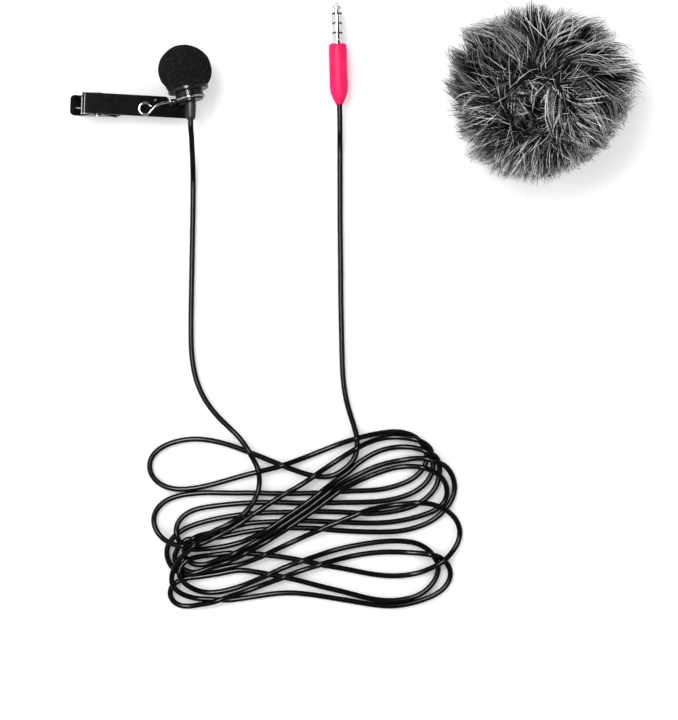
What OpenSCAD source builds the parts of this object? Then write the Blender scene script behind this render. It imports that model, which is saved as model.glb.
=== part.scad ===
// Lavalier microphone lying on a table: foam ball, barrel, spring clip with a wire
// holder, thin cable in a loose hank, 3.5 mm four-pole plug, and a separate fur windshield.
// Millimetres. +Z is up from the table, +X runs along the clip towards the microphone,
// and the origin is on the table at the middle of the clip's lower jaw.

/* [Microphone] */
// Diameter of the foam ball
foam_d = 17.94; // [15:0.1:17.98]
// Diameter of the barrel's groove, inside the wire ring
groove_d = 8.4; // [7.6:0.1:8.4]
// Diameter of the barrel's wide flange
flange_d = 13.8; // [12:0.2:15]
// Length of the barrel's head inside the foam
head_len = 7; // [5:0.5:8]
// Diameter of the electret capsule
capsule_d = 6; // [4:0.5:6]
// Length of the rubber boot
boot_len = 6.3; // [5:0.1:8]

/* [Clip] */
// Width of the jaws over the ears
clip_w = 7.1; // [6.9:0.1:8]
// Thickness of the sheet metal
sheet_t = 0.6; // [0.4:0.1:0.6]
// Diameter of the holder's wire
wire_d = 0.95; // [0.7:0.05:0.95]
// Diameter of the pivot pin
pin_d = 1.6; // [1.2:0.1:1.6]

/* [Cable and plug] */
// Diameter of the cable
cable_d = 1.85; // [1.6:0.05:1.9]
// Height of the hank as it lies
hank_h = 6; // [5.7:0.1:9.5]
// Diameter of the plug's pin
plug_d = 3.5; // [3.45:0.01:3.55]
// Widest diameter of the plug's handle
handle_d = 6.3; // [5.6:0.1:6.3]
// Length of the plug's handle
handle_len = 20.6; // [18:0.1:24]

/* [Fur windshield] */
// Diameter over the hair
fur_d = 62; // [54:1:66]
// Height of the pile as it lies
fur_h = 34; // [32:1:40]

/* [Hidden] */
$fn = 48;

eps = 0.01;

// The barrel's axis is level. Along it, 0 is the middle of the groove and + is towards the foam.
mic_pos = [19.7, 2.8, 9];
mic_turn = 14;
rear_z = -1;
lip_end_z = -0.6;
neck_z = 0.6;
flange_z = 2.4;
head_z = 3.6;
head_end_z = head_z + head_len;
lip_r = groove_d / 2 + 0.2;
neck_r = 4.75;
head_r = 4.9;
bore_r = 3.65;
grille_t = 0.6;
capsule_r = capsule_d / 2;
capsule_len = 4.5;
capsule_top_z = head_end_z - grille_t;
capsule_z = capsule_top_z - capsule_len;
board_t = 0.8;
lead_r = 0.3;
foam_mid_z = 9.5;

// The boot leaves the barrel's rear face nearly square to the clip, and droops a little.
boot_dir = [0.03, -0.9955, -0.09];
boot_start = [19.94, 1.83, 9];
boot_end = boot_start + boot_len * boot_dir / norm(boot_dir);

// The upper jaw's plate slopes down towards its mouth. plate_pt gives a point on it.
plate_pos = [-17, 0, 9];
plate_tilt = 7.05;
plate_len = 35.8;
pivot_x = -12.1;
pivot_z = 4.9;
pin_r = pin_d / 2;
ear_out = clip_w / 2;
ear_in = 2.9;
jaw_half = 2.6;
wire_r = wire_d / 2;
ring_r = groove_d / 2 + 0.045 + wire_r;
ring_gap = 12;
ring_end = 139;
function plate_pt(s, y, n) = [
  plate_pos[0] + s * cos(plate_tilt) + n * sin(plate_tilt),
  y,
  plate_pos[2] - s * sin(plate_tilt) + n * cos(plate_tilt)
];
function mic_pt(p) = [
  mic_pos[0] + p[0] * cos(mic_turn) - p[2] * sin(mic_turn),
  mic_pos[1] + p[0] * sin(mic_turn) + p[2] * cos(mic_turn),
  mic_pos[2] - p[1]
];

// The eye of the wire holder, and the wire's run from the eye to the ring.
wire_up = wire_r + 0.03;
eye_s = 21.4;
eye_y = -1.05;
eye_r = 1.98;
eye_from = 60;
eye_turn = 265;
function eye_pt(a) = plate_pt(eye_s + eye_r * cos(a), eye_y + eye_r * sin(a), wire_up);
lug_a = plate_pt(29.9, 1.76, wire_up);
lug_b = plate_pt(32.2, 1.9, 0.8);
ring_join = mic_pt([ring_r * cos(ring_end), ring_r * sin(ring_end), 0]);

// Teeth of the mouth: a saw edge between two heights.
tooth_pitch = 1.6;
tooth_gap = 0.15;

// Torsion spring round the pin. Angles are in the plane across the pin, from +X towards +Z.
spring_wire_r = 0.25;
spring_r = 1.3;
spring_pitch = 0.56;
spring_y = -1.9;
spring_turns = 4;
upper_leg_tip = [-16.3, 7.9];
lower_leg_tip = [-17, 0.9];
upper_leg_a = 68;
lower_leg_a = -63;

// The cable's route from the boot to the hank, and from the handle to the hank.
cable_r = cable_d / 2;
mic_route = [
  [20.5, -10, 7], [20.7, -14, 5.2], [20.9, -18, 3.4], [21.1, -22.5, 2], [21.2, -27, 1.2],
  [21.4, -32, 1], [21.5, -37, 1], [21.6, -42, 1], [21.7, -47, 1], [21.8, -52, 1], [21.9, -57, 1],
  [22, -62, 1], [22.1, -67, 1], [22.2, -72, 1], [22.4, -77, 1], [22.6, -82, 1], [23.2, -87, 1],
  [24.3, -92, 1], [26.3, -97, 1], [29.3, -101.7, 1], [33, -105.7, 1], [37, -109.2, 1.2],
  [41, -112.6, 1.6]
];
plug_route = [
  [70.9, -3, 2.7], [71.1, -8, 2], [71.3, -13, 1.3], [71.5, -18, 1], [71.7, -23, 1],
  [71.9, -28, 1], [72.1, -33, 1], [72.3, -38, 1], [72.6, -43, 1], [72.8, -48, 1], [73.1, -53, 1],
  [73.3, -58, 1], [73.5, -63, 1], [73.8, -68, 1], [74.1, -73, 1], [74.4, -78, 1], [74.7, -83, 1],
  [75, -88, 1], [75.6, -93, 1], [76.6, -98, 1], [78.3, -103, 1], [80.2, -107.5, 1],
  [81.5, -111.5, 1]
];
// Outline of the hank as it lies, and of the gaps through it.
hank_outline = [
  [7, -124], [8.5, -118], [13, -113.5], [20, -111.3], [30, -111], [40, -112.2], [49, -116],
  [55, -117.8], [63, -115.5], [72, -111.5], [80, -108.5], [90, -106.8], [98, -106.8],
  [104, -109], [108, -112.5], [113, -117], [116.5, -122], [117.5, -128], [116.5, -133],
  [119.5, -138], [119.8, -143], [117.5, -149], [118, -156], [116.5, -160.5], [110.5, -165],
  [102, -168.5], [92, -169.6], [80, -168.6], [66, -167], [50, -168.8], [40, -170.8],
  [30, -172.3], [22, -172.3], [18, -170], [17, -165], [16, -160], [13.8, -155], [13.5, -150.5],
  [10, -146], [9, -141], [10.5, -135.5], [12.5, -132.5], [9, -130]
];
hank_gaps = [
  [
    [10.5, -124], [13, -119], [20, -115.3], [30, -115.3], [40, -117.8], [45, -120.5],
    [30, -127.5], [20, -129.2], [13, -128]
  ],
  [[66, -157.5], [80, -157], [95, -159.5], [108, -157.5], [107, -161], [98, -164.3], [84, -162.5]],
  [[84, -152.5], [100, -151.3], [108, -152], [100, -155], [90, -155]],
  [[47, -120.2], [54, -121.5], [64, -125.8], [50, -128.8], [49, -126]]
];

// The plug stands its own axis along local +Z, tip up, with 0 at the handle's front face.
plug_pos = [69.1, 24, 3.15];
plug_turn = 3.9;
plug_r = plug_d / 2;
collar_r = 2.4;
collar_t = 0.5;
band_z = [3.5, 6.8, 10.1];
band_t = 0.6;
tip_end_z = 14.5;
// Radii of the plug's nested tubes, from the tip's rod outwards.
rod_r = 0.5;
nest = [0.5, 0.7, 0.9, 1.05, 1.2, 1.35];
handle_end = [
  plug_pos[0] + handle_len * sin(plug_turn),
  plug_pos[1] - handle_len * cos(plug_turn),
  plug_pos[2]
];
plug_cable_dir = [sin(plug_turn), -cos(plug_turn), 0];

// The fur windshield's pouch leans, with its mouth up and towards the cable.
fur_pos = [138.6, 8.5, 0];
pouch_pos = [138.9, 8.8, 4];
pouch_lean = 17;
pouch_way = 241;
pouch_r = 12;
pouch_t = 1.1;
mouth_r = 7.2;
hem_r = 8.6;
hem_z = 23.5;
mouth_z = 25.5;
elastic_r = 0.5;
// The pouch's outer profile, closed at the bottom and drawn in to the hem at the mouth.
pouch_outside = [
  [0, 0], [8, 0], [pouch_r, 4], [pouch_r, 19], [hem_r, hem_z], [hem_r, mouth_z]
];

module at_mic() {
  translate(mic_pos)
    rotate([0, 0, mic_turn])
      rotate([-90, 0, 0])
        children();
}

module at_plug() {
  translate(plug_pos)
    rotate([0, 0, plug_turn])
      rotate([-90, 0, 0])
        children();
}

module at_plate() {
  translate(plate_pos)
    rotate([0, plate_tilt, 0])
      children();
}

module at_pouch() {
  translate(pouch_pos)
    rotate([0, 0, pouch_way])
      rotate([0, pouch_lean, 0])
        children();
}

// A round bar from a to b.
module bar(a, b, r) {
  v = b - a;
  translate(a)
    rotate([0, acos(v[2] / norm(v)), atan2(v[1], v[0])])
      cylinder(h = norm(v), r = r);
}

// A side wall drawn in the X-Z plane, from y0 outwards by t.
module side_wall(points, y0, t) {
  translate([0, y0 + t, 0])
    rotate([90, 0, 0])
      linear_extrude(height = t)
        polygon(points);
}

// Sweep of a regular polygon along points. Each ring is square to the path there, and
// is turned from a fixed up direction, so no ring twists against the next.
function unit(v) = v / norm(v);
function path_dir(p, i) =
  i == 0 ? unit(p[1] - p[0])
  : i == len(p) - 1 ? unit(p[i] - p[i - 1])
  : unit(unit(p[i + 1] - p[i]) + unit(p[i] - p[i - 1]));
function path_ring(p, i, r, sides, up) =
  let (d = path_dir(p, i), a = unit(cross(d, up)), b = cross(a, d))
  [for (k = [0:sides - 1])
    p[i] + r * (cos(360 * (k + 0.5) / sides) * a + sin(360 * (k + 0.5) / sides) * b)];

module sweep(p, r, sides, up) {
  n = len(p);
  rings = [for (i = [0:n - 1]) each path_ring(p, i, r, sides, up)];
  skin = [
    for (i = [0:n - 2])
      for (k = [0:sides - 1])
        each [
          [i * sides + k, (i + 1) * sides + k, i * sides + (k + 1) % sides],
          [(i + 1) * sides + k, (i + 1) * sides + (k + 1) % sides, i * sides + (k + 1) % sides]
        ]
  ];
  first_cap = [[for (k = [0:sides - 1]) k]];
  last_cap = [[for (k = [sides - 1:-1:0]) (n - 1) * sides + k]];
  polyhedron(points = rings, faces = concat(skin, first_cap, last_cap));
}

module mic_housing() {
  color("#26262a")
    at_mic()
      rotate_extrude()
        polygon([
          [1, rear_z], [lip_r, rear_z], [lip_r, lip_end_z], [groove_d / 2, lip_end_z],
          [groove_d / 2, neck_z], [neck_r, neck_z], [neck_r, flange_z],
          [flange_d / 2 - 0.25, flange_z], [flange_d / 2, flange_z + 0.25],
          [flange_d / 2, head_z - 0.2], [flange_d / 2 - 0.2, head_z], [head_r, head_z],
          [head_r, head_end_z], [bore_r, head_end_z], [bore_r, 0], [1, 0]
        ]);
}

module mic_grille() {
  hole_r = 0.35;
  color("#3a3a3e")
    at_mic()
      translate([0, 0, capsule_top_z])
        difference() {
          cylinder(h = grille_t, r = bore_r - 0.02);
          for (row = [[1, 0], [6, 1.1], [12, 2.3]])
            for (k = [0:row[0] - 1])
              rotate([0, 0, 360 * k / row[0]])
                translate([row[1], 0, -1])
                  cylinder(h = grille_t + 2, r = hole_r, $fn = 16);
        }
}

module electret_capsule() {
  color("#b8babd")
    at_mic()
      translate([0, 0, capsule_z])
        difference() {
          cylinder(h = capsule_len, r = capsule_r);
          translate([0, 0, capsule_len - 0.3])
            cylinder(h = 1, r = capsule_r - 0.6);
        }
}

module capsule_sleeve() {
  color("#1c1c1c")
    at_mic()
      translate([0, 0, capsule_z])
        difference() {
          cylinder(h = capsule_len - 0.1, r = bore_r - 0.03);
          translate([0, 0, -1])
            cylinder(h = capsule_len + 2, r = capsule_r + 0.02);
        }
}

module capsule_board() {
  color("#1f6b3a")
    at_mic()
      translate([0, 0, capsule_z - board_t])
        cylinder(h = board_t - eps, r = capsule_r - 0.4);
}

module capsule_leads() {
  color("#c43a2a")
    at_mic()
      for (side = [-1, 1])
        translate([0.5 * side, 0, rear_z + eps])
          cylinder(h = capsule_z - board_t - rear_z - 2 * eps, r = lead_r, $fn = 24);
}

module cable_boot() {
  color("#3b3b3d")
    difference() {
      translate(boot_start)
        rotate([0, acos(boot_dir[2] / norm(boot_dir)), atan2(boot_dir[1], boot_dir[0])])
          rotate_extrude()
            polygon([
              [0, -1.2], [1.55, -1.2], [1.6, -0.3], [1.8, 0.6], [1.78, 3], [1.62, boot_len - 0.6],
              [1.15, boot_len], [0, boot_len]
            ]);
      at_mic()
        translate([-8, -8, rear_z])
          cube([16, 16, 8]);
    }
}

module foam_windscreen() {
  cavity_r = head_r + 0.1;
  color("#1a1a1c")
    at_mic()
      difference() {
        translate([0, 0, foam_mid_z])
          sphere(r = foam_d / 2, $fn = 96);
        translate([-12, -12, -12])
          cube([24, 24, 12 + head_z + 0.05]);
        translate([0, 0, head_z - 1])
          cylinder(h = head_len + 1.5, r = cavity_r);
      }
}

module wire_holder() {
  a1 = plate_pt(27.8, 1.3, wire_up);
  a2 = plate_pt(25.9, 0.6, wire_up);
  a3 = plate_pt(24.7, -0.2, wire_up);
  a4 = plate_pt(23.8, -1.2, wire_up);
  eye_in = eye_pt(eye_from + eye_turn);
  eye_out = eye_pt(eye_from);
  tail = plate_pt(23.5, -0.1, wire_up);
  knots = [tail, a4, a3, a2, a1, lug_a, lug_b];
  color("#5a5b60")
    union() {
      bar(eye_in, a4, wire_r);
      bar(a4, a3, wire_r);
      bar(a3, a2, wire_r);
      bar(a2, a1, wire_r);
      bar(a1, lug_a, wire_r);
      bar(lug_a, lug_b, wire_r);
      bar(lug_b, ring_join, wire_r);
      bar(eye_out, tail, wire_r);
      for (p = concat(knots, [eye_in, eye_out, ring_join]))
        translate(p)
          sphere(r = wire_r + 0.004);
      at_plate()
        translate([eye_s, eye_y, wire_up])
          rotate([0, 0, eye_from])
            rotate_extrude(angle = eye_turn)
              translate([eye_r, 0])
                circle(r = wire_r, $fn = 24);
      at_mic()
        rotate([0, 0, ring_end + ring_gap])
          rotate_extrude(angle = 360 - ring_gap)
            translate([ring_r, 0])
              circle(r = wire_r, $fn = 24);
    }
}

// Saw edge from x0 to x1 between z_low and z_high, starting at the low side.
function teeth(x0, x1, z_low, z_high) = [
  for (k = [0:floor((x1 - x0) / tooth_pitch + 0.001) - 1])
    each [[x0 + k * tooth_pitch, z_low], [x0 + (k + 0.5) * tooth_pitch, z_high]]
];

module clip_upper_jaw() {
  under = sheet_t / cos(plate_tilt);
  slope = tan(plate_tilt);
  plate_under = [for (x = [8.4, 18]) plate_pos[2] - (x - plate_pos[0]) * slope - under + 0.1];
  lug_mid = (lug_a + lug_b) / 2;
  lug_way = unit(lug_b - lug_a);
  color("#141416")
    difference() {
      union() {
        at_plate() {
          translate([0, 0, -sheet_t])
            linear_extrude(height = sheet_t)
              polygon([
                [1, -ear_out], [plate_len, -ear_out], [plate_len, 0.35], [31.7, 0.35],
                [31.1, 1.2], [28.5, ear_out], [1, ear_out]
              ]);
          // The handle's rolled end.
          intersection() {
            translate([1, ear_out, -1])
              rotate([90, 0, 0])
                difference() {
                  cylinder(h = clip_w, r = 1);
                  translate([0, 0, -1])
                    cylinder(h = clip_w + 2, r = 1 - sheet_t);
                }
            translate([-1, -5, -1])
              cube([2, 10, 3]);
          }
          translate([0, -ear_out, -2.2])
            cube([sheet_t, clip_w, 1.2]);
          // A pressed-up hook beside the wire.
          translate([24.6, 1.5, -0.1])
            rotate([0, 0, 40])
              cube([1.9, 0.45, 0.9]);
        }
        // Ears down to the pin.
        for (y0 = [-ear_in, ear_in - sheet_t])
          side_wall([
            [-15.6, 8.5], [-7.4, 7.5], [-8.6, 5.6], [-10.2, 3.9], [-12.1, 3.1], [-14, 3.9], [-15.2, 6]
          ], y0, sheet_t);
        // Toothed walls of the mouth. The notch leaves the far one short.
        for (wall = [[-jaw_half, 18], [jaw_half - sheet_t, 11.6]])
          side_wall(
            concat(
              teeth(8.4, wall[1], 2.45, 1.75),
              [[wall[1], 2.45], [wall[1], plate_under[0] - (wall[1] - 8.4) * slope], [8.4, plate_under[0]]]
            ),
            wall[0], sheet_t
          );
        bar(lug_mid - 0.95 * lug_way, lug_mid + 0.95 * lug_way, 1);
      }
      bar(lug_mid - 4 * lug_way, lug_mid + 4 * lug_way, wire_r + 0.02);
      translate([pivot_x, 10, pivot_z])
        rotate([90, 0, 0])
          cylinder(h = 20, r = pin_r + 0.02);
    }
}

module clip_lower_jaw() {
  tab_tilt = 21;
  tab_half = ear_out - 0.05;
  color("#1d1d20")
    difference() {
      union() {
        linear_extrude(height = sheet_t)
          polygon([
            [-18.8, -ear_out], [-6, -ear_out], [-4.5, -jaw_half], [18, -jaw_half],
            [18, jaw_half], [-4.5, jaw_half], [-6, ear_out], [-18.8, ear_out]
          ]);
        // Thumb tab, bent up a little.
        translate([-18.7, 0, 0])
          rotate([0, tab_tilt, 0])
            linear_extrude(height = sheet_t)
              polygon([
                [0, -tab_half], [-2.4, -tab_half], [-3.05, 0.17 - tab_half], [-3.53, 0.65 - tab_half],
                [-3.7, 1.3 - tab_half], [-3.7, tab_half - 1.3], [-3.53, tab_half - 0.65],
                [-3.05, tab_half - 0.17], [-2.4, tab_half], [0, tab_half]
              ]);
        // Ears up to the pin.
        for (y0 = [-ear_out, ear_out - sheet_t])
          side_wall([
            [-18.3, 0], [-6, 0], [-7.5, 2.6], [-10.2, 6], [-12.1, 6.7], [-14, 6], [-16.4, 3], [-18.3, 1.4]
          ], y0, sheet_t);
        // Toothed walls of the mouth.
        for (y0 = [-jaw_half, jaw_half - sheet_t])
          side_wall(
            concat(
              teeth(8.4, 18, 2.45 - tooth_gap, 1.75 - tooth_gap),
              [[18, 2.45 - tooth_gap], [18, 0.3], [8.4, 0.3]]
            ),
            y0, sheet_t
          );
      }
      // Slit at the root of the thumb tab.
      translate([-20.2, -1.1, -1])
        cube([1.6, 0.5, 4]);
      translate([pivot_x, 10, pivot_z])
        rotate([90, 0, 0])
          cylinder(h = 20, r = pin_r + 0.05);
    }
}

module clip_pin() {
  head_y = ear_out + 0.05;
  color("#6a6a6e")
    translate([pivot_x, 0, pivot_z])
      rotate([90, 0, 0]) {
        cylinder(h = 2 * head_y + 0.2, r = pin_r, center = true);
        for (z0 = [head_y, -head_y - 0.45])
          translate([0, 0, z0])
            cylinder(h = 0.45, r = 1.2);
      }
}

function spring_pt(a, y) = [pivot_x + spring_r * cos(a), y, pivot_z + spring_r * sin(a)];

module clip_spring() {
  steps = 14;
  last = steps * spring_turns;
  coil = [
    for (i = [0:last])
      spring_pt(upper_leg_a - 360 * i / steps, spring_y + spring_pitch * i / steps)
  ];
  color("#a9abaf")
    sweep(concat([[upper_leg_tip[0], spring_y, upper_leg_tip[1]]], coil), spring_wire_r, 6, [0, 1, 0]);
}

module clip_spring_leg() {
  y = spring_y + spring_pitch * (spring_turns + 1.1);
  arc = [for (i = [0:4]) spring_pt(lower_leg_a + 20 * (4 - i), y)];
  color("#a9abaf")
    sweep(concat(arc, [[lower_leg_tip[0], y, lower_leg_tip[1]]]), spring_wire_r, 6, [0, 1, 0]);
}

module cable_mic_end() {
  color("#4a4b4d")
    sweep(concat([boot_end, boot_end + 2.5 * unit(boot_dir)], mic_route), cable_r, 8, [0, 0, 1]);
}

module cable_plug_end() {
  color("#4a4b4d")
    sweep(concat([handle_end, handle_end + 2.5 * plug_cable_dir], plug_route), cable_r, 8, [0, 0, 1]);
}

module cable_hank() {
  color("#4a4b4d")
    difference() {
      linear_extrude(height = hank_h)
        polygon(hank_outline);
      for (gap = hank_gaps)
        translate([0, 0, -1])
          linear_extrude(height = hank_h + 2)
            polygon(gap);
    }
}

module tube(z0, z1, r_in, r_out) {
  translate([0, 0, z0])
    difference() {
      cylinder(h = z1 - z0, r = r_out);
      translate([0, 0, -1])
        cylinder(h = z1 - z0 + 2, r = r_in);
    }
}

module plug_tip() {
  z0 = band_z[2] + band_t;
  color("#c9cbce")
    at_plug()
      rotate_extrude()
        polygon([
          [0, -5], [rod_r, -5], [rod_r, z0], [plug_r, z0], [plug_r, z0 + 0.15], [1.25, z0 + 0.75],
          [1.2, z0 + 1.1], [1.7, z0 + 1.9], [1.7, z0 + 2.2], [0.55, tip_end_z - 0.15], [0, tip_end_z]
        ]);
}

module plug_ring_1() {
  color("#c9cbce")
    at_plug() {
      tube(band_z[1] + band_t, band_z[2], nest[1], plug_r);
      tube(-4, band_z[1] + band_t + eps, nest[1], nest[2]);
    }
}

module plug_ring_2() {
  color("#c9cbce")
    at_plug() {
      tube(band_z[0] + band_t, band_z[1], nest[3], plug_r);
      tube(-3, band_z[0] + band_t + eps, nest[3], nest[4]);
    }
}

module plug_sleeve() {
  color("#c9cbce")
    at_plug() {
      tube(collar_t, band_z[0], nest[5], plug_r);
      tube(0, collar_t + eps, nest[5], collar_r);
      tube(-2.5, eps, nest[5], plug_r);
    }
}

module plug_insulators() {
  color("#101012")
    at_plug() {
      tube(band_z[2], band_z[2] + band_t, rod_r, plug_r);
      tube(-4, band_z[2] + eps, rod_r, nest[1]);
      tube(band_z[1], band_z[1] + band_t, nest[2], plug_r);
      tube(-3, band_z[1] + eps, nest[2], nest[3]);
      tube(band_z[0], band_z[0] + band_t, nest[4], plug_r);
      tube(-2.5, band_z[0] + eps, nest[4], nest[5]);
    }
}

module plug_solder_tags() {
  color("#b99b52")
    at_plug() {
      translate([-0.6, -0.4, -8])
        cube([1.2, 0.3, 2.9]);
      for (side = [-1, 1])
        translate([1.45 * side - 0.15, -0.6, -8])
          cube([0.3, 1.2, 4.9]);
      translate([-0.6, 1.1, -8])
        cube([1.2, 0.3, 4.9]);
    }
}

module plug_handle() {
  r = handle_d / 2;
  color("#ff3c78")
    at_plug()
      difference() {
        rotate_extrude()
          polygon([
            [0, 0], [r - 0.35, 0], [r - 0.1, -0.35], [r - 0.05, -2], [r - 0.05, -10], [r, -14],
            [r - 0.2, -16.4], [r - 0.8, -18.2], [r - 1.5, -19.6], [1.25, -handle_len],
            [0, -handle_len]
          ]);
        translate([0, 0, -8.6])
          cylinder(h = 6.1, r = 1.95);
        translate([0, 0, -2.6])
          cylinder(h = 3, r = plug_r + 0.01);
      }
}

module fur_pile() {
  r = fur_d / 2;
  color("#5c5e63")
    difference() {
      translate(fur_pos)
        rotate_extrude()
          polygon([
            [0, 0], [0.6 * r, 0], [0.86 * r, 4], [r, 11], [r, 17], [0.88 * r, fur_h - 9],
            [0.66 * r, fur_h - 3], [0.42 * r, fur_h], [0, fur_h]
          ]);
      at_pouch()
        rotate_extrude()
          polygon(concat(pouch_outside, [[hem_r, mouth_z + 20], [0, mouth_z + 20]]));
    }
}

module fur_backing() {
  color("#2c2c2f")
    at_pouch()
      difference() {
        rotate_extrude()
          polygon(concat(pouch_outside, [
            [mouth_r, mouth_z], [mouth_r, hem_z - 0.3], [pouch_r - pouch_t, 18.6], [pouch_r - pouch_t, 4.5],
            [7.6, pouch_t], [0, pouch_t]
          ]));
        translate([0, 0, mouth_z - 1])
          rotate_extrude()
            translate([(mouth_r + hem_r) / 2, 0])
              circle(r = elastic_r + 0.01, $fn = 24);
      }
}

module fur_elastic() {
  color("#e6e6e8")
    at_pouch()
      translate([0, 0, mouth_z - 1])
        rotate_extrude()
          translate([(mouth_r + hem_r) / 2, 0])
            circle(r = elastic_r, $fn = 24);
}

mic_housing();
mic_grille();
electret_capsule();
capsule_sleeve();
capsule_board();
capsule_leads();
cable_boot();
foam_windscreen();
wire_holder();
clip_upper_jaw();
clip_lower_jaw();
clip_pin();
clip_spring();
clip_spring_leg();
cable_mic_end();
cable_hank();
cable_plug_end();
plug_tip();
plug_ring_1();
plug_ring_2();
plug_sleeve();
plug_insulators();
plug_solder_tags();
plug_handle();
fur_pile();
fur_backing();
fur_elastic();
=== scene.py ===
import math

import bpy
import numpy as np
from mathutils import Matrix, Vector, noise


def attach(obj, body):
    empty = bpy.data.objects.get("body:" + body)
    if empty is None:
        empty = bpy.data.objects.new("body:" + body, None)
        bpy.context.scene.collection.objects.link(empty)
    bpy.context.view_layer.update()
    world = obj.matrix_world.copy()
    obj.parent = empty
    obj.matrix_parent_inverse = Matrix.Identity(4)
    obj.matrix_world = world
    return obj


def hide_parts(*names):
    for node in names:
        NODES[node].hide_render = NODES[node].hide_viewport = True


# The lavalier microphone's looks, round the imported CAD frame. Lengths here are in millimetres
# until mm() turns them into the metres that Blender works in.

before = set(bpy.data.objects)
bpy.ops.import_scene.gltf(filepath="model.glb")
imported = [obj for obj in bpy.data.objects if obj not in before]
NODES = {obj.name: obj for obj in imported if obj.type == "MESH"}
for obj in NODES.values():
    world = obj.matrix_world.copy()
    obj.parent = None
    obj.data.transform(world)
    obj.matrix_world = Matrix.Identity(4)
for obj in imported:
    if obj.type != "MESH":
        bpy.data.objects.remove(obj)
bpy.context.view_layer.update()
MM = 0.001


def mm(points):
    """Millimetres to metres, for a point or a list of points."""
    return np.array(points, float) * MM


# ---------------------------------------------------------------- camera, lights, floor

CAMERA_FOOT = (73.7, -84.2)
CAMERA_HEIGHT = 620
CAMERA_TURN = 2.2
VIEW_HEIGHT = 248.4
SENSOR = 36
WORLD_LIGHT = 1.38
DARK_WAY = (0.05, 0.12, 0.99)
DARK_EDGE = 35
DARK_FADE = 9
FLOOR_GLOW = 0.16
FLOOR_SIZE = 6
FLOOR_DROP = -0.0001


def make_camera():
    data = bpy.data.cameras.new("camera")
    data.sensor_width = SENSOR
    data.lens = SENSOR * CAMERA_HEIGHT / VIEW_HEIGHT
    data.clip_start = 0.01
    data.clip_end = 20
    camera = bpy.data.objects.new("camera", data)
    camera.location = mm((*CAMERA_FOOT, CAMERA_HEIGHT))
    camera.rotation_euler = (0, 0, math.radians(CAMERA_TURN))
    bpy.context.scene.collection.objects.link(camera)
    bpy.context.scene.camera = camera


def make_light(name, place, size, watts, target=(75, -75, 0), gloss_only=False):
    """A rectangular softbox. A gloss-only one shows in shiny faces and lights nothing else."""
    data = bpy.data.lights.new(name, "AREA")
    data.shape = "RECTANGLE"
    data.size = size[0] * MM
    data.size_y = size[1] * MM
    data.energy = watts
    light = bpy.data.objects.new(name, data)
    light.location = mm(place)
    aim = Vector(mm(target)) - light.location
    light.rotation_euler = aim.to_track_quat("-Z", "Y").to_euler()
    light.visible_diffuse = not gloss_only
    bpy.context.scene.collection.objects.link(light)


def make_world():
    """An even white studio with a dark patch overhead, which the flat gloss parts reflect."""
    world = bpy.data.worlds.new("studio")
    world.use_nodes = True
    tree = world.node_tree
    place = tree.nodes.new("ShaderNodeTexCoord")
    toward = tree.nodes.new("ShaderNodeVectorMath")
    toward.operation = "DOT_PRODUCT"
    toward.inputs[1].default_value = DARK_WAY
    ramp = tree.nodes.new("ShaderNodeValToRGB")
    ramp.color_ramp.elements[0].position = math.cos(math.radians(DARK_EDGE + DARK_FADE))
    ramp.color_ramp.elements[0].color = (0.97, 0.985, 1, 1)
    ramp.color_ramp.elements[1].position = math.cos(math.radians(DARK_EDGE))
    ramp.color_ramp.elements[1].color = (0.03, 0.03, 0.03, 1)
    tree.links.new(place.outputs["Generated"], toward.inputs[0])
    tree.links.new(toward.outputs["Value"], ramp.inputs["Fac"])
    tree.links.new(ramp.outputs["Color"], tree.nodes["Background"].inputs["Color"])
    tree.nodes["Background"].inputs["Strength"].default_value = WORLD_LIGHT
    bpy.context.scene.world = world


def make_stage():
    """Three softboxes, a strip that only shiny faces show, and a pale floor that glows a little."""
    bpy.context.scene.view_settings.view_transform = "Standard"
    make_world()
    make_light("gleam_strip", (-105, 90, 900), (180, 480), 34, target=(-105, 90, 0), gloss_only=True)
    make_light("key_softbox", (-260, 320, 850), (420, 360), 3.4)
    make_light("left_softbox", (-620, -40, 560), (220, 520), 1.2)
    make_light("right_softbox", (780, -60, 560), (300, 600), 0.9)
    bpy.ops.mesh.primitive_plane_add(size=FLOOR_SIZE, location=(0.07, -0.07, FLOOR_DROP))
    floor = bpy.context.object
    floor.name = "floor"
    paper = bpy.data.materials.new("paper")
    paper.use_nodes = True
    shader = paper.node_tree.nodes["Principled BSDF"]
    shader.inputs["Base Color"].default_value = (0.93, 0.93, 0.935, 1)
    shader.inputs["Roughness"].default_value = 0.9
    shader.inputs["Specular IOR Level"].default_value = 0.1
    shader.inputs["Emission Color"].default_value = (1, 1, 1, 1)
    shader.inputs["Emission Strength"].default_value = FLOOR_GLOW
    floor.data.materials.append(paper)


make_camera()
make_stage()


# ---------------------------------------------------------------- materials

GRAIN_DETAIL = 6


def material(name, colour, rough, metal=0.0, specular=0.5, sheen=0.0):
    """A Principled material, still of one colour: grain() and others add its nodes."""
    m = bpy.data.materials.new(name)
    m.use_nodes = True
    shader = m.node_tree.nodes["Principled BSDF"]
    shader.inputs["Base Color"].default_value = (*colour, 1)
    shader.inputs["Roughness"].default_value = rough
    shader.inputs["Metallic"].default_value = metal
    shader.inputs["Specular IOR Level"].default_value = specular
    shader.inputs["Sheen Weight"].default_value = sheen
    return m


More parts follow.
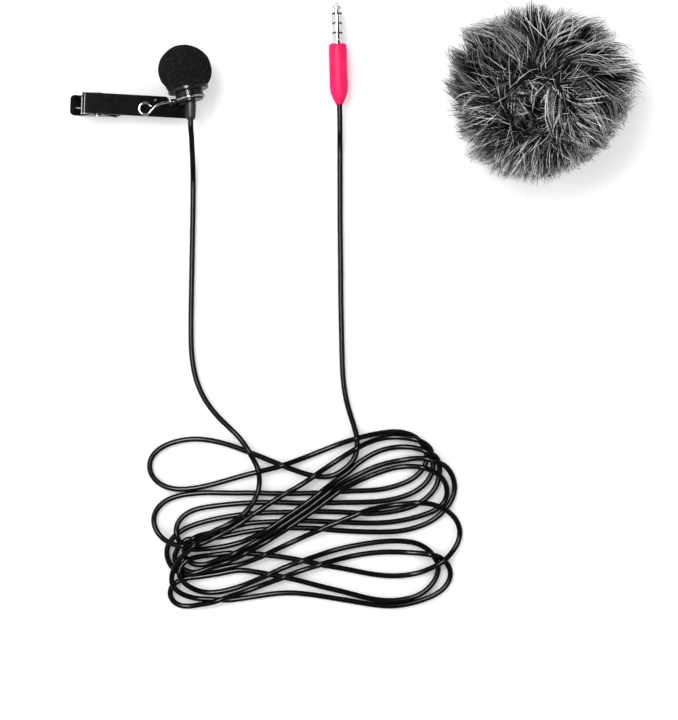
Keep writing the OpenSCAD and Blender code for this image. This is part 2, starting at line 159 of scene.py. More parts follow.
def grain(m, low, high, scale, stretch=(1, 1, 1), rough=None, bump=0.0, bump_mm=0.02):
    """Colour between low and high by noise of the given scale, and roughness and bump if asked."""
    tree = m.node_tree
    shader = tree.nodes["Principled BSDF"]
    place = tree.nodes.new("ShaderNodeTexCoord")
    stretched = tree.nodes.new("ShaderNodeMapping")
    stretched.inputs["Scale"].default_value = stretch
    spots = tree.nodes.new("ShaderNodeTexNoise")
    spots.inputs["Scale"].default_value = scale
    spots.inputs["Detail"].default_value = GRAIN_DETAIL
    tree.links.new(place.outputs["Object"], stretched.inputs["Vector"])
    tree.links.new(stretched.outputs["Vector"], spots.inputs["Vector"])
    ramp = tree.nodes.new("ShaderNodeValToRGB")
    ramp.color_ramp.elements[0].position = 0.32
    ramp.color_ramp.elements[1].position = 0.7
    ramp.color_ramp.elements[0].color = (*low, 1)
    ramp.color_ramp.elements[1].color = (*high, 1)
    tree.links.new(spots.outputs["Fac"], ramp.inputs["Fac"])
    tree.links.new(ramp.outputs["Color"], shader.inputs["Base Color"])
    if rough:
        span = tree.nodes.new("ShaderNodeMapRange")
        span.inputs["To Min"].default_value = rough[0]
        span.inputs["To Max"].default_value = rough[1]
        tree.links.new(spots.outputs["Fac"], span.inputs["Value"])
        tree.links.new(span.outputs["Result"], shader.inputs["Roughness"])
    if bump:
        relief = tree.nodes.new("ShaderNodeBump")
        relief.inputs["Strength"].default_value = bump
        relief.inputs["Distance"].default_value = bump_mm * MM
        tree.links.new(spots.outputs["Fac"], relief.inputs["Height"])
        tree.links.new(relief.outputs["Normal"], shader.inputs["Normal"])
    return m


def grey(v):
    """A grey with a trace of blue."""
    return (v, v, v * 1.03)


CABLE = grain(material("cable_jacket", grey(0.001), 0.16, specular=0.06), grey(0.0007), grey(0.0016), 900,
              rough=(0.14, 0.19))
BOOT = grain(material("boot_rubber", grey(0.008), 0.4, specular=0.2), grey(0.005), grey(0.011), 1400,
             rough=(0.36, 0.5), bump=0.25)
JAW = grain(material("jaw_gloss", grey(0.004), 0.1, specular=0.12), grey(0.003), grey(0.006), 500,
            rough=(0.08, 0.12))
HOUSING = grain(material("housing_satin", grey(0.008), 0.24, specular=0.11), grey(0.005), grey(0.012), 900,
                rough=(0.2, 0.28), bump=0.05)
NICKEL = grain(material("dark_nickel", grey(0.19), 0.1, metal=1), grey(0.14), grey(0.25), 1600,
               rough=(0.08, 0.14), bump=0.02)
SPRING = grain(material("spring_steel", grey(0.5), 0.25, metal=1), grey(0.42), grey(0.6), 1600,
               rough=(0.2, 0.34))
CHROME = grain(material("plug_chrome", grey(0.6), 0.06, metal=1), grey(0.5), grey(0.62), 900,
               stretch=(1, 0.1, 1), rough=(0.03, 0.07))
BAND = grain(material("plug_black", grey(0.004), 0.4, specular=0.3), grey(0.003), grey(0.007), 1500,
             rough=(0.34, 0.5))
PINK = grain(material("handle_pink", (1, 0.03, 0.16), 0.36, specular=0.05), (0.74, 0.008, 0.085),
             (0.9, 0.022, 0.14), 200, rough=(0.42, 0.54), bump=0.1)
BRASS = grain(material("tag_brass", (0.6, 0.42, 0.18), 0.3, metal=1), (0.5, 0.34, 0.14),
              (0.68, 0.5, 0.24), 1200)
CAPSULE = grain(material("capsule_can", grey(0.6), 0.3, metal=1), grey(0.5), grey(0.68), 1300,
                rough=(0.24, 0.4))
GRILLE = grain(material("grille_steel", grey(0.12), 0.35, metal=1), grey(0.08), grey(0.18), 1300,
               rough=(0.3, 0.5))
SLEEVE = grain(material("sleeve_rubber", grey(0.01), 0.6), grey(0.007), grey(0.018), 1500, rough=(0.5, 0.7))
BOARD = grain(material("solder_mask", (0.02, 0.12, 0.04), 0.3), (0.015, 0.1, 0.03), (0.03, 0.16, 0.06), 900)
LEAD = grain(material("lead_cover", (0.5, 0.03, 0.02), 0.35), (0.42, 0.02, 0.015), (0.58, 0.05, 0.03), 1200)
ELASTIC = grain(material("elastic_weave", grey(0.3), 0.8), grey(0.2), grey(0.4), 2600, bump=0.5, bump_mm=0.06)

# ---------------------------------------------------------------- the cord

CABLE_D = 1.85
BOOT_END = (20.13, -4.44, 8.43)
BOOT_WAY = (0.03, -0.9955, -0.09)
HANDLE_END = (70.5, 3.45, 3.15)
HANDLE_WAY = (0.068, -0.9977, 0)

# The route on the table, as in the CAD: from the boot to the heap, and from the plug to it.
MIC_ROUTE = [
    (20.5, -10, 7), (20.7, -14, 5.2), (20.9, -18, 3.4), (21.1, -22.5, 2), (21.2, -27, 1.2),
    (21.4, -32, 1), (21.5, -37, 1), (21.6, -42, 1), (21.7, -47, 1), (21.8, -52, 1),
    (21.9, -57, 1), (22, -62, 1), (22.1, -67, 1), (22.2, -72, 1), (22.4, -77, 1),
    (22.6, -82, 1), (23.2, -87, 1), (24.3, -92, 1), (26.3, -97, 1), (29.3, -101.7, 1),
    (33, -105.7, 1),
]
PLUG_ROUTE = [
    (70.9, -3, 2.7), (71.1, -8, 2), (71.3, -13, 1.3), (71.5, -18, 1), (71.7, -23, 1),
    (71.9, -28, 1), (72.1, -33, 1), (72.3, -38, 1), (72.6, -43, 1), (72.8, -48, 1),
    (73.1, -53, 1), (73.3, -58, 1), (73.5, -63, 1), (73.8, -68, 1), (74.1, -73, 1),
    (74.4, -78, 1), (74.7, -83, 1), (75, -88, 1), (75.6, -93, 1), (76.6, -98, 1),
    (78.3, -103, 1), (80.2, -107.5, 1), (81.5, -111.5, 1),
]
HEAP = [
    ("to_heap", 2.6, [
        (37, -109), (41, -112.5), (45.5, -119), (48, -123), (48.5, -127.5), (48, -131.5),
        (46, -135), (43.5, -138.5),
    ]),
    ("loop_5", 2.6, [
        (39, -142), (33, -144.5), (28.5, -147), (24.5, -150.5), (21, -155), (19, -159),
        (18, -162.5), (19.5, -165.5), (23, -167.5), (28, -168.5),
    ]),
    ("low_run_2", 0.2, [
        (34, -168.5), (41, -168), (49, -166.5), (57, -165), (65, -165), (73, -166), (81, -167),
        (89, -168), (97, -168), (104, -166.5), (110, -164),
    ]),
    ("arc_h", 1.8, [
        (114, -161), (116, -157), (115, -153), (112, -150.5), (107.5, -149.5),
    ]),
    ("top_run_2", 2.2, [
        (101, -149.5), (93, -149.5), (85, -150.5), (77, -152.5), (69, -155), (61, -158),
        (53, -161.5), (45, -165), (37, -168), (29.5, -170),
    ]),
    ("loop_6", 1.2, [
        (25, -171.5), (21, -171.5), (18, -169), (17.5, -165), (20.5, -162),
    ]),
    ("low_run_1", 1, [
        (26, -160.5), (31, -158.5), (37, -157.5), (44, -157.5), (52, -159), (60, -160),
        (71, -162.5), (79, -164), (87, -166), (94, -167),
    ]),
    ("arc_g", 1, [
        (100, -166), (105.5, -164), (109.5, -160), (111.5, -155.5), (111, -151.5),
        (108, -148.5), (104, -146),
    ]),
    ("top_run_1", 2, [
        (98, -145.5), (91, -146), (83, -147.5), (75, -149.5), (67, -152.5), (59, -155.5),
        (51, -159.5), (43, -163.5), (37, -165.5), (32, -166.5),
    ]),
    ("loop_7", 1.6, [
        (28, -166), (24, -164), (21, -161), (20.5, -157.5), (23, -154.5), (28, -153.5),
    ]),
    ("low_run_6", 0.5, [
        (34, -153), (41, -152), (48, -152), (55, -152.5), (63, -153.5), (71, -155), (79, -156),
        (87, -157.5), (95, -158), (103, -157), (109.5, -154),
    ]),
    ("arc_f", 2.6, [
        (114, -150.5), (117.5, -146), (118.5, -141.5), (116.5, -137), (113, -134),
        (107.5, -132),
    ]),
    ("top_run_6", 2.4, [
        (100.5, -132.5), (93.5, -133.5), (85.5, -135.5), (77.5, -139), (69.5, -142.5),
        (61, -147), (53, -151), (45, -155), (37, -158), (30, -159.5),
    ]),
    ("hidden_1", 0.8, [
        (24.5, -160.5), (20, -158.5), (18.5, -154.5), (20.5, -150.5), (25, -148.5),
        (31, -147.5), (37, -146.5),
    ]),
    ("flat_5", 0.5, [
        (43.5, -144.5), (53, -143.5), (62.5, -142.5), (76.5, -143), (86.5, -143), (97, -142.5),
        (104, -140.5),
    ]),
    ("arc_e", 1.6, [
        (109, -138), (112.5, -134.5), (115, -131), (116, -126.5), (114.5, -121.5),
        (111.5, -118), (107.5, -116.5),
    ]),
    ("slant_4", 2, [
        (102.5, -116.5), (96, -118), (91, -119), (85, -121.5), (79, -125), (74, -128),
        (68.5, -133), (62.5, -137.5), (57.5, -141), (53, -144.5), (48, -148), (43, -151),
        (38, -153.5),
    ]),
    ("hidden_2", 1.2, [
        (33, -156), (28, -157.5), (23.5, -156), (21.5, -152), (23.5, -148), (28.5, -146),
        (34, -145), (39, -143.5),
    ]),
    ("flat_4", 0.5, [
        (43.5, -141.5), (49.5, -141), (55.5, -140.5), (62.5, -140), (71, -140), (79.5, -140),
        (86.5, -140), (93.5, -139.5), (100.5, -138),
    ]),
    ("arc_d", 1.6, [
        (106.5, -136), (110.5, -134.5), (113, -131.5), (113.5, -127.5), (112.5, -124.5),
        (110, -122), (106, -120),
    ]),
    ("slant_5", 2.1, [
        (101.5, -119.5), (95.5, -120), (88.5, -122.5), (82, -125.5), (76, -129), (69, -134),
        (62.5, -139), (57.5, -142.5), (52.5, -146.5), (47, -150), (42, -153), (37, -155.5),
        (32.5, -157.5), (28.5, -159),
    ]),
    ("loop_4", 0.6, [
        (22, -160), (18.5, -158.5), (16.5, -155), (16, -151.5), (18, -147.5), (22.5, -144),
        (28, -142),
    ]),
    ("flat_3", 0.4, [
        (35, -140), (41, -139), (47, -138), (53.5, -137.5), (62.5, -137), (71, -136.5),
        (79.5, -136.5), (90, -136.5), (97.5, -135), (103.5, -132.5),
    ]),
    ("arc_c", 1, [
        (107, -130), (109.5, -126.5), (110.5, -122), (110.5, -119), (109, -116.5),
        (106.5, -114.5),
    ]),
    ("slant_3", 1.8, [
        (101, -113), (96, -113), (89, -114.5), (82.5, -118.5), (79, -121), (72.5, -127),
        (65.5, -133.5), (59, -138.5), (49.5, -144.5), (43.5, -148), (37, -150), (31, -151),
    ]),
    ("loop_3", 1.5, [
        (26.5, -151.5), (22.5, -150.5), (19.5, -147.5), (19, -143.5), (21, -140), (25, -137.5),
        (30, -136.5),
    ]),
    ("flat_2", 0.3, [
        (36.5, -135.5), (45, -134.5), (53.5, -134), (62, -134), (72.5, -133.5), (81, -133),
        (89.5, -132.5), (96.5, -131), (101.5, -129),
    ]),
    ("arc_b", 0.8, [
        (105.5, -126), (108, -122), (108.5, -118), (107.5, -114.5), (105.5, -112), (102, -110),
    ]),
    ("slant_2", 1.5, [
        (97.5, -109.5), (92.5, -109.5), (87, -111), (82, -113.5), (75.5, -118), (68.5, -123),
        (62, -128), (55, -132), (49, -136.5), (45, -139), (41, -142.5), (36.5, -145),
        (31.5, -148), (26.5, -150.5),
    ]),
    ("loop_2", 1.9, [
        (21.5, -150.5), (16, -149), (13, -146.5), (11, -142), (12, -138), (15.5, -134.5),
        (21.5, -132.5),
    ]),
    ("flat_1", 0.2, [
        (29.5, -131.5), (38, -131.5), (46.5, -131), (55, -131), (64, -130.5), (72.5, -129.5),
        (81, -129), (89.5, -128.5), (96.5, -126.5), (101, -124.5),
    ]),
    ("arc_a", 0.6, [
        (104, -121.5), (106, -118), (106.5, -115), (104.5, -111.5), (100.5, -109),
    ]),
    ("slant_1", 1, [
        (95.5, -108), (90.5, -108.5), (83.5, -110), (75, -113), (65, -117.5), (55, -121.5),
        (43, -125), (31, -129),
    ]),
    ("loop_1", 0.4, [
        (23, -131), (16.5, -131), (11.5, -128.5), (9, -124.5), (9.5, -120), (13, -116.5),
        (17.5, -114.5), (25, -113),
    ]),
    ("to_plug", 0, [
        (34, -114), (42.5, -116.5), (49.5, -119), (56, -121.5), (62, -123.5), (68, -125),
        (73, -125), (77, -123.5), (80, -120.5), (81.5, -116.5),
    ]),
]

# How the route becomes a settled line.
STEP = 1.2
SKIN_STEP = 0.7
INSIDE = 0.8
STRAIGHT = 2.5
FIXED_ENDS = 12
PLOTTED = 16
PULL_DOWN = 0.018
SOFT_PULL = 0.25
ROUNDS = 700
SOFT_ROUNDS = 150
TOUCH = 1.01
PUSH = 0.25
NEAR = 2.2
NEAR_ALONG = 3.2
TIGHTEST = 4.2
STIFFNESS = 0.25
BEND_EASE = 0.35
BEND_SPAN = 3
ROUTE_HOLD = 0.02


def smooth_line(points, step):
    """A centripetal Catmull-Rom curve through the points, in even steps."""
    p = np.array(points, float)
    p = np.vstack([2 * p[0] - p[1], p, 2 * p[-1] - p[-2]])
    line = []
    for i in range(1, len(p) - 2):
        a, b, c, d = p[i - 1 : i + 3]
        t1 = np.linalg.norm(b - a) ** 0.5
        t2 = t1 + np.linalg.norm(c - b) ** 0.5
        t3 = t2 + np.linalg.norm(d - c) ** 0.5
        for t in np.linspace(t1, t2, PLOTTED, endpoint=False):
            ab = a + (b - a) * t / t1
            bc = b + (c - b) * (t - t1) / (t2 - t1)
            cd = c + (d - c) * (t - t2) / (t3 - t2)
            abc = ab + (bc - ab) * t / t2
            bcd = bc + (cd - bc) * (t - t1) / (t3 - t1)
            line.append(abc + (bcd - abc) * (t - t1) / (t2 - t1))
    line.append(p[-2])
    return even_steps(np.array(line), step)


def even_steps(line, step):
    """The same line, with its points one step apart."""
    along = np.r_[0, np.cumsum(np.linalg.norm(np.diff(line, axis=0), axis=1))]
    marks = np.linspace(0, along[-1], int(round(along[-1] / step)) + 1)
    return np.column_stack([np.interp(marks, along, line[:, k]) for k in range(3)])


def cable_points():
    """Every route point from the boot to the plug. A strand's rank in the heap sets how high it starts."""
    boot, way = np.array(BOOT_END), np.array(BOOT_WAY)
    points = [boot - INSIDE * way, boot, boot + STRAIGHT * way, *MIC_ROUTE]
    for _, rank, run in HEAP:
        points += [(x, y, CABLE_D * (0.5 + rank)) for x, y in run]
    handle, out = np.array(HANDLE_END), np.array(HANDLE_WAY)
    return points + [*reversed(PLUG_ROUTE), handle + STRAIGHT * out, handle, handle - INSIDE * out]


def close_pairs(line, skip):
    """Pairs of points that lie near each other from above but are not neighbours along the cable."""
    apart = line[:, None, :2] - line[None, :, :2]
    near = (apart**2).sum(2) < (NEAR * CABLE_D) ** 2
    return np.nonzero(np.triu(near, skip))


def push_apart(line, i, j, fixed):
    """Moves touching strands a cable's width apart, and keeps them on the table."""
    gap = line[i] - line[j]
    length = np.linalg.norm(gap, axis=1)
    hit = length < TOUCH * CABLE_D
    a, b = i[hit], j[hit]
    length = np.maximum(length[hit], 1e-6)
    push = (PUSH * (TOUCH * CABLE_D - length) / length)[:, None] * gap[hit]
    move = np.zeros_like(line)
    count = np.zeros(len(line))
    np.add.at(move, a, push)
    np.add.at(move, b, -push)
    np.add.at(count, a, 1)
    np.add.at(count, b, 1)
    move /= np.maximum(count, 1)[:, None] ** 0.5
    move[fixed] = 0
    line += move
    line[:, 2] = np.maximum(line[:, 2], CABLE_D / 2)


def settle(line):
    """Lets the cable sink onto the table and onto itself, while it keeps near its route."""
    aim = line.copy()
    line = line.copy()
    skip = int(round(NEAR_ALONG * CABLE_D / STEP))
    ends = int(FIXED_ENDS / STEP)
    fixed = np.zeros(len(line), bool)
    fixed[:ends] = fixed[-ends:] = True
    w = BEND_SPAN
    for k in range(ROUNDS):
        if k % 50 == 0:
            i, j = close_pairs(line, skip)
        line[~fixed, 2] -= PULL_DOWN * (1 if k < ROUNDS - SOFT_ROUNDS else SOFT_PULL)
        for _ in range(3):
            push_apart(line, i, j, fixed)
        middle = line.copy()
        middle[1:-1] = (line[:-2] + line[2:]) / 2
        middle[fixed] = line[fixed]
        line += STIFFNESS * (middle - line)
        middle = line.copy()
        middle[w:-w] = (line[: -2 * w] + line[2 * w :]) / 2
        middle[fixed] = line[fixed]
        bow = np.linalg.norm(middle - line, axis=1)
        most = (w * STEP) ** 2 / (2 * TIGHTEST)
        line += (BEND_EASE * np.clip((bow - most) / np.maximum(bow, 1e-9), 0, 1))[:, None] * (middle - line)
        line[~fixed, :2] += ROUTE_HOLD * (aim - line)[~fixed, :2]
        line[:, 2] = np.maximum(line[:, 2], CABLE_D / 2)
    return line


def tube(name, points, radius, look, sides=5):
    """A round rod along a line of points in millimetres, as a mesh."""
    data = bpy.data.curves.new(name, "CURVE")
    data.dimensions = "3D"
    data.bevel_depth = radius * MM
    data.bevel_resolution = sides
    data.use_fill_caps = True
    data.twist_mode = "Z_UP"
    spline = data.splines.new("POLY")
    spline.points.add(len(points) - 1)
    flat = np.column_stack([mm(points), np.ones(len(points))])
    spline.points.foreach_set("co", flat.ravel())
    spline.use_smooth = True
    line = bpy.data.objects.new(name + "_line", data)
    bpy.context.scene.collection.objects.link(line)
    skin = bpy.data.meshes.new_from_object(line.evaluated_get(bpy.context.evaluated_depsgraph_get()))
    bpy.data.objects.remove(line)
    skin.shade_smooth()
    skin.materials.clear()
    skin.materials.append(look)
    rod = bpy.data.objects.new(name, skin)
    bpy.context.scene.collection.objects.link(rod)
    return rod


def make_cable():
    """One free cord from the boot to the plug's handle."""
    line = smooth_line(settle(smooth_line(cable_points(), STEP)), SKIN_STEP)
    cable = tube("cable", line, CABLE_D / 2, CABLE)
    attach(cable, "mic")
    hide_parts("cable_mic_end", "cable_hank", "cable_plug_end")


make_cable()

# ---------------------------------------------------------------- the CAD pieces' looks

CAD_LOOKS = {
    "mic_housing": HOUSING, "mic_grille": GRILLE, "electret_capsule": CAPSULE, "capsule_sleeve": SLEEVE,
    "capsule_board": BOARD, "capsule_leads": LEAD, "cable_boot": BOOT, "clip_upper_jaw": JAW,
    "clip_lower_jaw": JAW, "clip_pin": NICKEL, "clip_spring": SPRING, "clip_spring_leg": SPRING,
    "plug_tip": CHROME, "plug_ring_1": CHROME, "plug_ring_2": CHROME, "plug_sleeve": CHROME,
    "plug_insulators": BAND, "plug_solder_tags": BRASS, "plug_handle": PINK, "fur_elastic": ELASTIC,
}
BEVELS = {
    "clip_upper_jaw": 0.1, "clip_lower_jaw": 0.1, "clip_pin": 0.08, "cable_boot": 0.12, "plug_handle": 0.15,
}
BEVEL_OVER = 40
WELD_GAP = 0.00001


def dress_cad():
    """Materials on the CAD pieces that show as they are, and soft edges on some of them."""
    for name, look in CAD_LOOKS.items():
        node = NODES[name]
        node.data.materials.clear()
        node.data.materials.append(look)
    for name, width in BEVELS.items():
        weld = NODES[name].modifiers.new("weld", "WELD")
        weld.merge_threshold = WELD_GAP
        bevel = NODES[name].modifiers.new("bevel", "BEVEL")
        bevel.width = width * MM
        bevel.segments = 2
        bevel.limit_method = "ANGLE"
        bevel.angle_limit = math.radians(BEVEL_OVER)
        normals = NODES[name].modifiers.new("normals", "WEIGHTED_NORMAL")
        normals.weight = 100


dress_cad()

# ---------------------------------------------------------------- places on the CAD

MIC_POS = (19.7, 2.8, 9)
MIC_TURN = 14
PLATE_POS = (-17, 0, 9)
PLATE_TILT = 7.05
WIRE_D = 0.95
GROOVE_D = 8.4
RING_PLAY = 0.045
RING_R = GROOVE_D / 2 + RING_PLAY + WIRE_D / 2
RING_GAP = 12
RING_END = 139
RING_STEP = 8
WIRE_GAP = 0.03
WIRE_UP = WIRE_D / 2 + WIRE_GAP
WIRE_STEP = 0.25
EYE = (21.4, -1.05)
EYE_R = 1.98
EYE_FROM = 60
EYE_TURN = 265
EYE_POINTS = 14


def plate_pt(s, y, n):
    """A point on the upper jaw: s along it, y across it and n above it."""
    a = math.radians(PLATE_TILT)
    return (
        PLATE_POS[0] + s * math.cos(a) + n * math.sin(a),
        y,
        PLATE_POS[2] - s * math.sin(a) + n * math.cos(a),
    )


def mic_pt(x, y, z):
    """A point in the microphone's own frame, whose z runs along the barrel."""
    a = math.radians(MIC_TURN)
    return (
        MIC_POS[0] + x * math.cos(a) - z * math.sin(a),
        MIC_POS[1] + x * math.sin(a) + z * math.cos(a),
        MIC_POS[2] - y,
    )


def mesh_object(name, verts, faces, look):
    """A smooth mesh piece from points in metres."""
    data = bpy.data.meshes.new(name)
    data.from_pydata([tuple(v) for v in verts], [], faces)
    data.validate()
    data.shade_smooth()
    data.materials.append(look)
    piece = bpy.data.objects.new(name, data)
    bpy.context.scene.collection.objects.link(piece)
    return piece


# ---------------------------------------------------------------- the wire holder


def on_circle(radius, degrees):
    a = math.radians(degrees)
    return radius * math.cos(a), radius * math.sin(a)


def make_wire():
    """One wire: the ring in the barrel's groove, the arm down to the plate, and the cable eye."""
    ring = [
        mic_pt(*on_circle(RING_R, a), 0) for a in np.arange(RING_END + RING_GAP, RING_END + 361, RING_STEP)
    ]
    arm = [
        plate_pt(32.2, 1.9, 0.8), plate_pt(29.9, 1.76, WIRE_UP), plate_pt(27.8, 1.3, WIRE_UP),
        plate_pt(25.9, 0.6, WIRE_UP), plate_pt(24.7, -0.2, WIRE_UP), plate_pt(23.8, -1.2, WIRE_UP),
    ]
    eye = []
    for a in np.linspace(EYE_FROM + EYE_TURN, EYE_FROM, EYE_POINTS):
        x, y = on_circle(EYE_R, a)
        eye.append(plate_pt(EYE[0] + x, EYE[1] + y, WIRE_UP))
    line = [*ring, *arm, *eye, plate_pt(23.5, -0.1, WIRE_UP)]
    wire = tube("holder_wire", smooth_line(line, WIRE_STEP), WIRE_D / 2, NICKEL)
    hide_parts("wire_holder")
    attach(wire, "clip")


make_wire()

# ---------------------------------------------------------------- the foam ball

FOAM_R = 8.97
FOAM_MID = 9.5
FOAM_BASE = 3.66
CAVITY_R = 5.0
CAVITY_TOP = 12.1
PORE = 0.62
PORE_DEPTH = 0.3
PORE_EDGE = 2.4
PORE_FADE = 5
LUMP = 0.14
LUMP_SIZE = 0.35
BALL_ROWS = 150
BALL_TURNS = 300
# Sizes of the painted highlights on the cell walls and of the scattered painted glints.
CELL_SCALE = 1900
PAINTED_GLINT_SCALE = 2300
# Where the ball is pressed or swollen: a way out from its middle, and by how many millimetres.
FOAM_DENTS = [((-0.62, 0, -0.6), -0.75), ((0.93, 0, 0.05), 0.3), ((0.5, 0, -0.7), 0.35), ((0.1, 0, 1), -0.2)]


def foam_painted_light_material():
    """Black foam with painted light: painted highlights along its cell walls, painted shade in its pits, and
    scattered painted glints.
    """
    m = material("foam_cells_painted_light", grey(0.01), 0.95, specular=0.04)
    tree = m.node_tree
    place = tree.nodes.new("ShaderNodeTexCoord")
    cells = tree.nodes.new("ShaderNodeTexVoronoi")
    cells.feature = "DISTANCE_TO_EDGE"
    cells.inputs["Scale"].default_value = CELL_SCALE
    spots = tree.nodes.new("ShaderNodeTexNoise")
    spots.inputs["Scale"].default_value = PAINTED_GLINT_SCALE
    # Painted highlight on the cell walls, and painted shade in the pits between them.
    ramp = tree.nodes.new("ShaderNodeValToRGB")
    ramp.color_ramp.elements[0].position = 0.02
    ramp.color_ramp.elements[0].color = (*grey(0.01), 1)
    ramp.color_ramp.elements[1].position = 0.17
    ramp.color_ramp.elements[1].color = (*grey(0.001), 1)
    # Scattered painted glints, as of foam struts catching the light.
    painted_glint = tree.nodes.new("ShaderNodeValToRGB")
    painted_glint.color_ramp.elements[0].position = 0.56
    painted_glint.color_ramp.elements[0].color = (0, 0, 0, 1)
    painted_glint.color_ramp.elements[1].position = 0.72
    painted_glint.color_ramp.elements[1].color = (*grey(0.034), 1)
    total = tree.nodes.new("ShaderNodeMix")
    total.data_type = "RGBA"
    total.blend_type = "ADD"
    total.inputs["Factor"].default_value = 1
    tree.links.new(place.outputs["Object"], cells.inputs["Vector"])
    tree.links.new(place.outputs["Object"], spots.inputs["Vector"])
    tree.links.new(cells.outputs["Distance"], ramp.inputs["Fac"])
    tree.links.new(spots.outputs["Fac"], painted_glint.inputs["Fac"])
    tree.links.new(ramp.outputs["Color"], total.inputs["A"])
    tree.links.new(painted_glint.outputs["Color"], total.inputs["B"])
    tree.links.new(total.outputs["Result"], m.node_tree.nodes["Principled BSDF"].inputs["Base Color"])
    return m


def foam_profile():
    """(radius, height, pore depth share) round the ball and back through the barrel's cavity."""
    low = math.asin((FOAM_BASE - FOAM_MID) / FOAM_R)
    ball = []
    for a in np.linspace(math.pi / 2 - 0.012, low, BALL_ROWS):
        share = min(1, (math.sin(a) - math.sin(low)) * PORE_FADE)
        ball.append((FOAM_R * math.cos(a), FOAM_MID + FOAM_R * math.sin(a), share))
    hole = [(5.9, FOAM_BASE, 0), (CAVITY_R, FOAM_BASE, 0), (CAVITY_R, 8, 0), (CAVITY_R, CAVITY_TOP, 0),
            (2, CAVITY_TOP, 0)]
    return ball + hole


def ring_skin(name, verts, turns, ends, look):
    """A closed skin over rings of points in millimetres, with one more point at each end."""
    rows = len(verts) // turns
    faces = []
    for i in range(rows - 1):
        for k in range(turns):
            a, b = i * turns + k, i * turns + (k + 1) % turns
            faces.append((a, b, b + turns, a + turns))
    for first, point in ((0, ends[0]), ((rows - 1) * turns, ends[1])):
        verts.append(point)
        tip = len(verts) - 1
        for k in range(turns):
            a, b = first + k, first + (k + 1) % turns
            faces.append((b, a, tip) if first == 0 else (a, b, tip))
    return mesh_object(name, mm(verts), faces, look)


def revolve(name, profile, turns, place, ends, look):
    """A closed skin round an axis. place turns (angle, radius, height, share) into a point."""
    verts = []
    for r, h, share in profile:
        verts += [place(2 * math.pi * k / turns, r, h, share) for k in range(turns)]
    return ring_skin(name, verts, turns, ends, look)


def make_foam():
    """The windscreen: a ball with open pores, dented as it sits, and a hole for the barrel."""

    def place(angle, r, h, share):
        p = Vector((r * math.cos(angle), r * math.sin(angle), h))
        if share:
            out = (p - Vector((0, 0, FOAM_MID))).normalized()
            near = noise.voronoi(p / PORE, distance_metric="DISTANCE", exponent=2.5)[0]
            wall = min(1, (near[1] - near[0]) * PORE_EDGE)
            lump = noise.noise(p * LUMP_SIZE) * LUMP
            for way, rise in FOAM_DENTS:
                lump += rise * max(0, out.dot(Vector(way).normalized())) ** 6
            p += out * share * (lump - PORE_DEPTH * wall)
        return mic_pt(*p)

    ends = mic_pt(0, 0, FOAM_MID + FOAM_R - 0.1), mic_pt(0, 0, CAVITY_TOP)
    foam = revolve("foam_ball", foam_profile(), BALL_TURNS, place, ends, foam_painted_light_material())
    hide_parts("foam_windscreen")
    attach(foam, "foam")


make_foam()

# ---------------------------------------------------------------- the fur windshield

FUR_POS = (138.6, 8.5)
FUR_TOP = 36.5
FUR_SHOULDER = 8
FUR_REACH = 36.5
FUR_SOFT = 0.38
POUCH_POS = (138.9, 8.8, 4)
POUCH_LEAN = 17
POUCH_WAY = 241
RIBS = 64
RIB_DEPTH = 0.09
POUCH_OUT = [(8, 0), (12, 4), (12, 19), (8.6, 23.5), (8.6, 25.5)]
POUCH_IN = [(7.2, 25.5), (7.2, 23.2), (10.9, 18.6), (10.9, 4.5), (7.6, 1.1)]
rng = np.random.default_rng(7)


def pouch_axes():
    """The pouch's own axes: leaning by POUCH_LEAN, towards POUCH_WAY."""
    lean, way = math.radians(POUCH_LEAN), math.radians(POUCH_WAY)
    turn = Matrix.Rotation(way, 3, "Z") @ Matrix.Rotation(lean, 3, "Y")
    return np.array(turn)


POUCH = pouch_axes()


def pouch_pt(angle, r, h):
    """A point in the pouch's own frame, whose height runs from its bottom to its mouth."""
    return np.array(POUCH_POS) + POUCH @ np.array([r * math.cos(angle), r * math.sin(angle), h])


def make_pouch():
    """The knitted pouch, with fine ribs. It is closed at its bottom and open at its mouth."""
    knit = grain(material("pouch_knit", grey(0.012), 0.9, specular=0.1, sheen=0.2), grey(0.005), grey(0.02),
                 2200, stretch=(1, 1, 0.4), bump=0.8, bump_mm=0.1)
    profile = []
    corners = [*POUCH_OUT, *POUCH_IN]
    for k, (a, b) in enumerate(zip(corners, corners[1:])):
        inside = 0.0 if k < len(POUCH_OUT) - 1 else 1.0
        for t in np.linspace(0, 1, 12)[:-1]:
            profile.append((a[0] + (b[0] - a[0]) * t, a[1] + (b[1] - a[1]) * t, inside))
    profile.append((*POUCH_IN[-1], 0.0))

    def place(angle, r, h, share):
        rib = RIB_DEPTH * share * math.sin(RIBS * angle)
        return pouch_pt(angle, r + rib - RIB_DEPTH * share, h)

    ends = pouch_pt(0, 0, 0), pouch_pt(0, 0, POUCH_IN[-1][1])
    pouch = revolve("fur_pouch", profile, 4 * RIBS, place, ends, knit)
    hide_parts("fur_backing")
    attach(pouch, "fur")


# Rings of the undercoat's outside: radius, height, and how far the ring follows the pouch.
DOME = [
    (13, 0.5, 0), (18, 0.9, 0), (21.5, 3.5, 0), (23.2, 8, 0), (23.4, 13, 0.1), (22, 18, 0.25),
    (19, 22.5, 0.45), (15, 25.6, 0.75), (11.6, 27, 0.95), (9.9, 26.9, 1),
]
COAT_TURNS = 180
COAT_LOW = 0.1
COAT_LUMPS = [(1.1, 0.16), (0.5, 0.6)]
# Rings of its inside, round the pouch.
SLEEVE_IN = [(8.8, 26.2, 1), (8.8, 23.7, 1), (12.25, 19.1, 1), (12.25, 3.9, 1), (8.1, -0.2, 1)]


